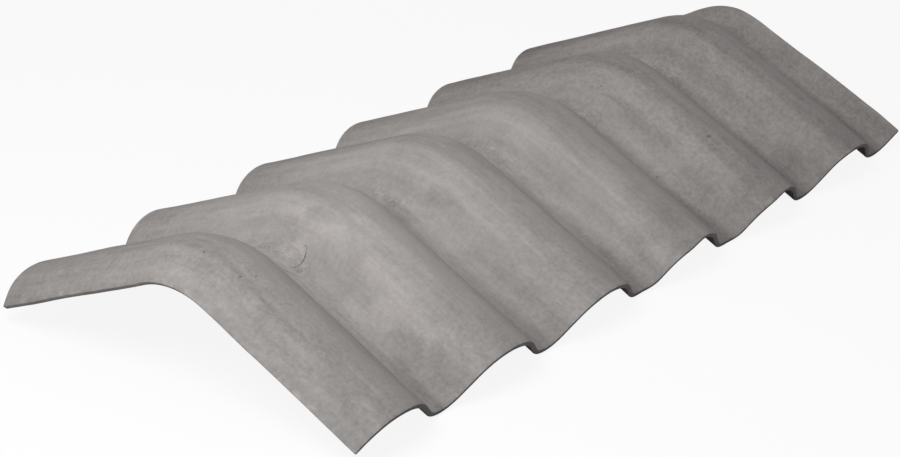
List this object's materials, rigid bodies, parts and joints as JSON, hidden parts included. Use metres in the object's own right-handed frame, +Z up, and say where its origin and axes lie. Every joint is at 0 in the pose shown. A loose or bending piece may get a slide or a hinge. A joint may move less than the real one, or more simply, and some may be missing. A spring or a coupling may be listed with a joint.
{
  "type": "roof ridge cap",
  "caption": "Corrugated fibre-cement ridge cap: two wavy flanges joined by a rounded bend, to close the ridge of a corrugated roof.",
  "frame": {"origin": "centre of the footprint, on the floor that the troughs of both eaves stand on", "axes": "+X along the ridge to the far end of the picture, +Y across the ridge to the back flange, +Z up"},
  "size_m": [1.074, 0.4838, 0.1466],
  "materials": {
    "fibre_cement": "matte grey fibre cement, smooth moulded face with faint smears"
  },
  "bodies": {
    "root": {"ridge_cap": "fibre_cement"}
  },
  "joints": []
}
